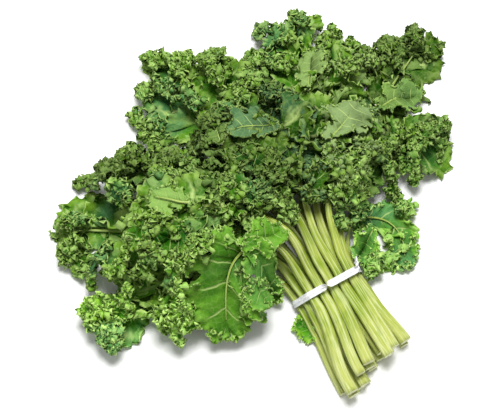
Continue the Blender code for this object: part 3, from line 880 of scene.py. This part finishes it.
def outwardFrom(line, at, rng):  # away from the leaf's own line and along it
    near = np.argmin(np.hypot(*(line - at).T))
    off = at - line[near]
    after = min(near + 1, len(line) - 1)
    ahead = line[after] - line[after - 1]
    outward = off / (np.hypot(*off) + 0.01) + tufts["outward"] * ahead / np.hypot(*ahead)
    outward += rng.uniform(-tufts["turned"], tufts["turned"], 2)
    return outward / np.hypot(*outward)


def tuftPlaces(heap):
    rng = np.random.default_rng(500)
    names = list(leafLines)
    inside = heap["owner"] > -2
    for _ in range(tufts["within"]):
        inside = widened(inside, np.min)
    deep = widened(widened(inside, np.min), np.min)
    smooth = smoothLobes()
    places, lobes = [], []
    for cell in rng.permutation(np.argwhere(inside & (heap["owner"] >= 0))):
        at = np.array((heap["x0"], heap["y0"])) + (cell + 0.5) * heap["step"] - tieAt
        name = names[heap["owner"][tuple(cell)]]
        crowded = any(np.hypot(*(at - other)) < tufts["gap"] for other in places)
        if name in tufts["without"] or crowded or onSmooth(at, smooth):
            continue
        outward = outwardFrom(leafLine(name)[0] - tieAt, at, rng)
        length = rng.uniform(*tufts["length"]) * (1 if deep[tuple(cell)] else tufts["atRim"])
        places.append(at)
        broad = rng.uniform() < tufts["broad"]
        length *= tufts["broader"] if broad else 1
        kind = {"look": "broad lobe" if broad else "default", "flipped": rng.uniform() < tufts["flipped"],
                "rib": 0, "net": "tuft"}
        start = at - tufts["before"] * length * outward
        end = at + (1 - tufts["before"]) * length * outward
        lobes.append((name, start, end, length * rng.uniform(*tufts["half"]), kind))
    return lobes


def growTurned(lobe, heap, seed):
    rng = np.random.default_rng(seed)
    name, start, end, half, kind = lobe
    kind = kind if isinstance(kind, dict) else turnedLobes["kinds"][kind]
    look = dict(lookOf(kind.get("look", "smooth lobe")), room=turnedLobes["room"])
    start, end = tieAt + start, tieAt + end
    length = float(np.hypot(*(end - start)))
    way = np.linspace(0, length, turnedLobes["stations"])
    line = start + (end - start) * (way / length)[:, None]
    beneath = heap["onTable" if kind.get("onTable") else "top"]
    if "under" in kind:
        beneath = np.full_like(beneath, kind["under"])
    slab = dict(heap, under=beneath + turnedLobes["rise"],
                top=beneath + turnedLobes["rise"] + turnedLobes["slab"])
    own = nets[kind.get("net", "turned lobe")]
    points, shape = growBlade(own, line, way, 0.0, length, half, look, slab, rng)
    made = [bladePiece(points, own["fine"], shape, kind.get("flipped", False))]
    thick = kind.get("rib", 1)
    if thick:
        ribs = way <= blades["ribShare"] * length
        heights = heightsAt(slab, line[:, 0], line[:, 1])[0] + turnedLobes["ribRise"]
        rib = np.column_stack([line, heights])[ribs]
        radii = np.linspace(*turnedLobes["rib"], len(rib)) * thick
        fromTie = turnedLobes["ribColour"] + way[ribs]
        made.append(stalkPiece(rib, radii, fromTie, turnedLobes["ribSides"], rng))
    return made


waxGloss = 0.06


def nodesOf(name, roughness):
    made = bpy.data.materials.new(name)
    made.use_nodes = True
    tree = made.node_tree
    shader = tree.nodes["Principled BSDF"]
    shader.inputs["Roughness"].default_value = roughness
    shader.inputs["Specular IOR Level"].default_value = waxGloss
    return made, tree, shader


def add(tree, kind, inputs=(), **settings):
    node = tree.nodes.new(kind)
    for key, value in settings.items():
        setattr(node, key, value)
    for k, value in enumerate(inputs):
        if isinstance(value, bpy.types.NodeSocket):
            tree.links.new(value, node.inputs[k])
        else:
            node.inputs[k].default_value = value
    return node


def maths(tree, operation, *inputs):
    return add(tree, "ShaderNodeMath", inputs, operation=operation).outputs[0]


def swung(tree, value, size):  # about nothing, from a noise that is about a half
    return maths(tree, "MULTIPLY", maths(tree, "SUBTRACT", value, 0.5), size)


def ranged(tree, value, low, high, toLow=0.0, toHigh=1.0):
    ends = (value, low, high, toLow, toHigh)
    return add(tree, "ShaderNodeMapRange", ends, interpolation_type="SMOOTHSTEP").outputs[0]


def mixed(tree, share, one, two):
    node = add(tree, "ShaderNodeMix", data_type="RGBA")
    for socket, value in ((node.inputs[0], share), (node.inputs[6], one), (node.inputs[7], two)):
        if isinstance(value, bpy.types.NodeSocket):
            tree.links.new(value, socket)
        else:
            socket.default_value = value if isinstance(value, float) else (*value, 1)
    return node.outputs[2]


def noise(tree, where, scale, detail=2.0, roughness=0.5):
    node = add(tree, "ShaderNodeTexNoise")
    tree.links.new(where, node.inputs["Vector"])
    node.inputs["Scale"].default_value = scale
    node.inputs["Detail"].default_value = detail
    node.inputs["Roughness"].default_value = roughness
    return node.outputs["Fac"]


def ownPlace(tree):
    return add(tree, "ShaderNodeTexCoord").outputs["Object"]


# how far round, how far out and how high on a crest; on a stalk its angle and its length
def leafPlace(tree):
    place = add(tree, "ShaderNodeAttribute", attribute_name="leafPlace").outputs["Vector"]
    return add(tree, "ShaderNodeSeparateXYZ", (place,)).outputs


def finished(tree, shader, colour, height, strength, distance):
    tree.links.new(colour, shader.inputs["Base Color"])
    bump = add(tree, "ShaderNodeBump", (strength, distance))
    tree.links.new(height, bump.inputs["Height"])
    tree.links.new(bump.outputs[0], shader.inputs["Normal"])


# scales are of noises, in waves to a metre; a pair is where a noise or a share begins and ends to count
bladeSkin = {
    "fine": 170.0, "patches": 30.0, "patchy": (0.36, 0.62),
    "frillFrom": (0.35, 0.95), "frillUneven": 0.6,
    "blooms": 19.0, "bloomy": (0.52, 0.66),
    # crest heights over which the painted crest highlight and the painted hollow shade come in
    "paleAndLitCrests": (0.15, 1.5), "shadedHollows": (-0.1, -1.3), "shadedHollowShare": 0.75, "crestUneven": 1.2,
    "wander": (60.0, 0.016), "veinWidth": (0.0017, 0.0006), "veinGap": 0.40, "veinsFade": (0.85, 0.35),
    "cells": 150.0, "cellEdge": 0.09, "cellShare": 0.13,
    "rimFrom": (0.925, 0.985), "rimUneven": 0.05,
    "crinkles": (300.0, 800.0), "sunkVeins": 0.6, "bump": (0.6, 0.0016), "roughness": (0.42, 0.62),
}


def bladeFinish(name, look, colours, veinStrength):
    skin = bladeSkin
    made, tree, shader = nodesOf(name, 0.48)
    theta, t, crest = leafPlace(tree)
    where = ownPlace(tree)
    fine = noise(tree, where, skin["fine"], 3.0)
    patches = ranged(tree, noise(tree, where, skin["patches"]), *skin["patchy"])
    colour = mixed(tree, patches, colours["deep"], colours["green"])
    outward = maths(tree, "ADD", t, swung(tree, fine, skin["frillUneven"]))
    colour = mixed(tree, ranged(tree, outward, *skin["frillFrom"]), colour, colours["frillGreen"])
    bloom = ranged(tree, noise(tree, where, skin["blooms"], 1.0), *skin["bloomy"], 0.0, look["bloomShare"])
    colour = mixed(tree, bloom, colour, look["bloom"])
    # crests get a painted highlight, partly the paler thinner tissue there, and hollows a painted shade in
    # the deep green
    crest = maths(tree, "ADD", crest, swung(tree, fine, skin["crestUneven"]))
    raised = ranged(tree, crest, *skin["paleAndLitCrests"], 0.0, look["paleAndLitCrestShare"])
    colour = mixed(tree, raised, colour, colours["rim"])
    hollow = ranged(tree, crest, *skin["shadedHollows"], 0.0, skin["shadedHollowShare"])
    colour = mixed(tree, hollow, colour, colours["deep"])
    # side veins follow the blade's own lines, from the midrib to the margin
    scale, swing = skin["wander"]
    wander = swung(tree, noise(tree, where, scale), swing)
    at = maths(tree, "MULTIPLY", maths(tree, "ADD", theta, wander), float(look["veins"]))
    off = maths(tree, "ABSOLUTE", maths(tree, "SUBTRACT", maths(tree, "FRACT", at), 0.5))
    off = maths(tree, "MULTIPLY", off, skin["veinGap"] / look["veins"])
    thin = ranged(tree, t, 0.0, 1.0, *skin["veinWidth"])
    veins = maths(tree, "MAXIMUM", maths(tree, "SUBTRACT", 1.0, maths(tree, "DIVIDE", off, thin)), 0.0)
    veins = maths(tree, "MULTIPLY", veins, ranged(tree, t, *skin["veinsFade"]))
    cells = add(tree, "ShaderNodeTexVoronoi", feature="DISTANCE_TO_EDGE")
    tree.links.new(where, cells.inputs["Vector"])
    cells.inputs["Scale"].default_value = skin["cells"]
    net = ranged(tree, cells.outputs[0], skin["cellEdge"], 0.0, 0.0, skin["cellShare"])
    veins = maths(tree, "MAXIMUM", veins, net)
    colour = mixed(tree, maths(tree, "MULTIPLY", veins, veinStrength), colour, colours["vein"])
    # the margin turns to the rim colour: partly its paler thin tissue, partly a painted highlight
    edge = maths(tree, "ADD", t, swung(tree, fine, skin["rimUneven"]))
    colour = mixed(tree, ranged(tree, edge, *skin["rimFrom"]), colour, colours["rim"])
    large, small = (noise(tree, where, scale) for scale in skin["crinkles"])
    crinkle = maths(tree, "ADD", large, maths(tree, "MULTIPLY", small, 0.4))
    height = maths(tree, "SUBTRACT", crinkle, maths(tree, "MULTIPLY", veins, skin["sunkVeins"]))
    finished(tree, shader, colour, height, *skin["bump"])
    tree.links.new(ranged(tree, fine, 0.3, 0.7, *skin["roughness"]), shader.inputs["Roughness"])
    return made


# the underside's deep colour, a share of its pale green, serves its random patches and its painted hollow
# shade
undersides = {"deep": 0.62, "veins": (0.85, 0.90)}   # how strong the veins are above and beneath


def leafFinishes(name, look):
    # each leaf's colours are scaled by its tint, partly its own shade of green and partly painted light and
    # shade
    tintedAndLit = {key: tuple(min(lightest, leafTintsAndPaintedLight[name] * c) for c in look[key])
              for key in ("deep", "green", "frillGreen", "rim", "pale", "bloom")}
    look = dict(look, **tintedAndLit)
    upper = {key: look[key] for key in ("deep", "green", "frillGreen", "rim", "vein")}
    deep = tuple(undersides["deep"] * c for c in look["pale"])
    lower = dict(upper, deep=deep, green=look["pale"], frillGreen=look["pale"])
    above, beneath = undersides["veins"]
    top = bladeFinish(name + "_upper_side", look, upper, above)
    under = bladeFinish(name + "_underside", look, lower, beneath)
    return top, under, stalkFinish, cutFinish


# along a stalk, in metres from the tie; streaks are noises drawn out lengthwise
stalkSkin = {
    "greens": ((0.21, 0.30, 0.016), (0.37, 0.43, 0.070)), "patches": 40.0, "patchy": (0.38, 0.62),
    "nearCut": (0.45, 0.49, 0.12), "cutFade": (-0.085, -0.03),
    "nearBlade": (0.30, 0.43, 0.08), "bladeFade": (0.05, 0.13),
    "drawnOut": (1.6, 14.0),     # round the stalk and along it
    "streak": (0.66, 0.70, 0.36), "streaky": (0.42, 0.66), "streakShare": 0.65,
    "line": (0.18, 0.30, 0.012), "liney": (0.52, 0.36), "lineShare": 0.45,
    "grain": (400.0, 0.2), "bump": (0.5, 0.0012),
}


def makeStalkFinish():
    skin = stalkSkin
    made, tree, shader = nodesOf("kale_stalk", 0.45)
    angle, along = leafPlace(tree)[:2]
    where = ownPlace(tree)
    patches = ranged(tree, noise(tree, where, skin["patches"], 3.0), *skin["patchy"])
    colour = mixed(tree, patches, *skin["greens"])
    colour = mixed(tree, ranged(tree, along, *skin["cutFade"]), skin["nearCut"], colour)
    colour = mixed(tree, ranged(tree, along, *skin["bladeFade"]), colour, skin["nearBlade"])
    turn = maths(tree, "MULTIPLY", angle, 2 * math.pi)
    across, lengthwise = skin["drawnOut"]
    ways = [maths(tree, "MULTIPLY", maths(tree, way, turn), across) for way in ("COSINE", "SINE")]
    drawn = add(tree, "ShaderNodeCombineXYZ", (*ways, maths(tree, "MULTIPLY", along, lengthwise))).outputs[0]
    own = add(tree, "ShaderNodeObjectInfo").outputs["Random"]
    moved = add(tree, "ShaderNodeCombineXYZ", (own, own, own)).outputs[0]
    place = add(tree, "ShaderNodeVectorMath", (drawn, moved), operation="ADD").outputs[0]
    streaks = noise(tree, place, 1.5)
    lines = noise(tree, place, 5.0, 2.0, 0.6)
    pale = ranged(tree, streaks, *skin["streaky"], 0.0, skin["streakShare"])
    dark = ranged(tree, lines, *skin["liney"], 0.0, skin["lineShare"])
    colour = mixed(tree, dark, mixed(tree, pale, colour, skin["streak"]), skin["line"])
    scale, share = skin["grain"]
    height = maths(tree, "ADD", lines, maths(tree, "MULTIPLY", noise(tree, where, scale), share))
    finished(tree, shader, colour, height, *skin["bump"])
    return made


def makeCutFinish():
    made, tree, shader = nodesOf("kale_cut_end", 0.6)
    pith = ranged(tree, noise(tree, ownPlace(tree), 500.0, 3.0), 0.35, 0.7)
    tree.links.new(mixed(tree, pith, (0.62, 0.66, 0.36), (0.80, 0.82, 0.56)), shader.inputs["Base Color"])
    return made


stalkFinish, cutFinish = makeStalkFinish(), makeCutFinish()
nets = {size: {level: bladeNet(table) for level, table in levels.items()}
        for size, levels in blades["nets"].items()}
leaves = {}
for name in leafLines:
    started = time.perf_counter()
    leaves[name] = growLeaf(name, 100 + len(leaves))
    print(f"{name} grown in {time.perf_counter() - started:.1f} s")
heap = heapOf(leaves)
lobes = turnedLobes["lobes"] + tuple(tuftPlaces(heap))
for k, lobe in enumerate(lobes):
    leaves[lobe[0]] += growTurned(lobe, heap, 300 + k)
for name, pieces in leaves.items():
    joined(name, pieces)
print("leaves made, with", len(lobes), "turned lobes and tufts")


# a flat paper strip with a wire along its middle, its two ends twisted together; angles go round the bundle
# from its right side, over the top
tie = {
    "width": 0.0068, "thickness": 0.00035,
    "wire": 0.0005, "wireWidth": 0.13,   # how high it shows, and its share of the width
    "across": (-1, -0.75, -0.45, -0.16, 0, 0.16, 0.45, 0.75, 1),
    "stations": 170,
    "lean": (0, -0.25, 1),
    "halfTwist": {"at": 108, "over": 17, "lift": 0.0030},
    "ends": {"at": 24, "length": 0.014, "start": 0.0006, "stations": 30, "turns": 1.3, "tip": 0.20,
             "towards": (0.25, 0.50, 0.55), "from": -1},   # the first end's turn, in degrees
    "wavering": 0.10,    # in radians
    "crinkle": 0.00016,
    "lowest": 0.0003,
    "sharp": 50,
    # creaseShade is a grey painted shade laid in noise patches over the white paper, and creased is where it
    # comes in
    "paper": (0.86, 0.87, 0.87), "creaseShade": (0.70, 0.71, 0.72),
    "roughness": 0.62, "creased": (0.62, 0.40), "grain": (420.0, 900.0), "bump": (0.35, 0.0005),
}


def ringRadii(middle, ways):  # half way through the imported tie
    tree = treeOf("twist_tie")
    radii = []
    for way in ways:
        inner = tree.ray_cast(middle, way)[0]
        outer = tree.ray_cast(inner + way * 0.0002, way)[0] or inner + way * 0.001
        radii.append(((inner + outer) / 2 - middle).length)
    return np.array(radii)


def tiePath():
    ends, twist, many = tie["ends"], tie["halfTwist"], tie["ends"]["stations"]
    angles = np.radians(ends["at"] + np.linspace(0, 360, tie["stations"]))
    lean = Vector(tie["lean"]).normalized()
    ways = [Vector((math.cos(angle), 0, 0)) + lean * math.sin(angle) for angle in angles]
    radii = ringRadii(tieMiddle, ways)
    off = np.degrees(angles) - twist["at"]
    radii += twist["lift"] * np.exp(-(off / twist["over"]) ** 2)
    ring = np.array(tieMiddle) + np.array(ways) * radii[:, None]
    towards = np.array(Vector(ends["towards"]).normalized())
    reach = np.linspace(ends["length"], ends["start"], many)
    path = eased(np.concatenate([ring[0] + towards * reach[:, None], ring[1:-1],
                                 ring[-1] + towards * reach[::-1, None]]), 8)
    off = np.concatenate([np.full(many, ends["from"]), off[1:-1], np.full(many, np.inf)])
    turn = math.pi * smoothStep((off + twist["over"]) / (2 * twist["over"]))
    end = 2 * math.pi * ends["turns"] * (reach / ends["length"])
    turn[:many] -= end
    turn[-many:] += end[::-1]
    width = np.full(len(path), tie["width"])
    narrow = 1 - (1 - ends["tip"]) * (reach / ends["length"]) ** 1.3
    width[:many] *= narrow
    width[-many:] *= narrow[::-1]
    return path, turn, width


def carriedNormals(path, start, normal):  # carried along the path without a twist
    ahead = unit(np.gradient(path, axis=0))
    normals = np.zeros_like(path)
    normals[start] = normal - ahead[start] * (normal @ ahead[start])
    for step in (1, -1):
        k = start
        while 0 <= k + step < len(path):
            k += step
            carried = normals[k - step] - ahead[k] * (normals[k - step] @ ahead[k])
            normals[k] = carried / np.linalg.norm(carried)
    normals[start] /= np.linalg.norm(normals[start])
    return ahead, normals


def wavering(values, rounds):  # smoothed along their last axis
    for _ in range(rounds):
        padded = np.pad(values, [(0, 0)] * (values.ndim - 1) + [(1, 1)], mode="edge")
        values = (padded[..., :-2] + 2 * values + padded[..., 2:]) / 4
    return values / values.std()


def makePaper():
    made, tree, shader = nodesOf("tie_paper_white", tie["roughness"])
    where = ownPlace(tree)
    large, small = (noise(tree, where, scale, 3.0) for scale in tie["grain"])
    # grey painted shade in patches over the white paper
    colour = mixed(tree, ranged(tree, large, *tie["creased"]), tie["paper"], tie["creaseShade"])
    finished(tree, shader, colour, small, *tie["bump"])
    return made


def makeTie():
    rng = np.random.default_rng(900)
    path, turn, width = tiePath()
    start = len(path) // 2
    ahead, normals = carriedNormals(path, start, path[start] - np.array(tieMiddle))
    beside = np.cross(ahead, normals)
    turn = turn + tie["wavering"] * wavering(rng.standard_normal(len(path)), 6)
    normals, beside = (normals * np.cos(turn)[:, None] + beside * np.sin(turn)[:, None],
                       beside * np.cos(turn)[:, None] - normals * np.sin(turn)[:, None])
    across = np.array(tie["across"])
    rise = tie["thickness"] / 2 + tie["wire"] * np.exp(-(across / tie["wireWidth"]) ** 2)
    creased = tie["crinkle"] * wavering(rng.standard_normal((len(across), len(path))), 2).T
    middle = path[:, None] + beside[:, None] * (across * width[:, None] / 2)[..., None]
    upper = middle + normals[:, None] * (creased + rise)[..., None]
    lower = middle + normals[:, None] * (creased - rise)[..., None]
    rings = np.concatenate([upper, lower[:, ::-1]], 1)
    rings[..., 2] = np.maximum(rings[..., 2], tie["lowest"])
    count, many = rings.shape[:2]
    first, last = range(many), range((count - 1) * many, count * many)
    mesh = bpy.data.meshes.new("paper_tie")
    mesh.from_pydata(rings.reshape(-1, 3).tolist(), [], tubeFaces(count, many) + [first[::-1], last])
    mesh.shade_smooth()
    mesh.set_sharp_from_angle(angle=math.radians(tie["sharp"]))
    mesh.materials.append(makePaper())
    made = put("paper_tie", mesh)
    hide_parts("twist_tie")
    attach(made, "root")


makeTie()
print("tie made")


# floor, light and camera
studio = {
    "aim": (tieMiddle.x - 0.0209, tieMiddle.y + 0.1170, 0.0),
    "azimuth": -30, "elevation": 66, "distance": 1.4, "lens": 100, "sensor": 36,
    "key": {"at": (0.12, 0.24, 1.72), "size": 0.8, "watts": 39},
    "sky": 0.42,
    "floor": {"half": 3, "white": 0.93, "roughness": 0.9, "gloss": 0.1},
}


def makeFloor():
    finish, half = studio["floor"], studio["floor"]["half"]
    corners = [(half * x, half * y, 0) for x, y in ((-1, -1), (1, -1), (1, 1), (-1, 1))]
    mesh = bpy.data.meshes.new("floor")
    mesh.from_pydata(corners, [], [(0, 1, 2, 3)])
    made, tree, shader = nodesOf("floor_white", finish["roughness"])
    shader.inputs["Base Color"].default_value = (*[finish["white"]] * 3, 1)
    shader.inputs["Specular IOR Level"].default_value = finish["gloss"]
    mesh.materials.append(made)
    floor = put("floor", mesh)


def makeLight():
    key = bpy.data.lights.new("key", "AREA")
    key.shape = "DISK"
    key.size = studio["key"]["size"]
    key.energy = studio["key"]["watts"]
    lamp = put("key", key)
    lamp.location = studio["key"]["at"]
    lamp.rotation_mode = "QUATERNION"
    lamp.rotation_quaternion = (Vector(studio["aim"]) - lamp.location).to_track_quat("-Z", "Y")
    sky = bpy.data.worlds.new("studio")
    sky.use_nodes = True
    background = sky.node_tree.nodes["Background"]
    background.inputs["Color"].default_value = (1, 1, 1, 1)
    background.inputs["Strength"].default_value = studio["sky"]
    bpy.context.scene.world = sky


def makeCamera():
    azimuth, elevation = math.radians(studio["azimuth"]), math.radians(studio["elevation"])
    back = Vector((math.sin(azimuth) * math.cos(elevation), -math.cos(azimuth) * math.cos(elevation),
                   math.sin(elevation)))
    lens = bpy.data.cameras.new("camera")
    lens.lens = studio["lens"]
    lens.sensor_width = studio["sensor"]
    camera = put("camera", lens)
    camera.location = Vector(studio["aim"]) + back * studio["distance"]
    camera.rotation_mode = "QUATERNION"
    camera.rotation_quaternion = (-back).to_track_quat("-Z", "Y")
    bpy.context.scene.camera = camera


makeFloor()
makeLight()
makeCamera()
bpy.context.scene.view_settings.view_transform = "Standard"
print("floor, light and camera ready")
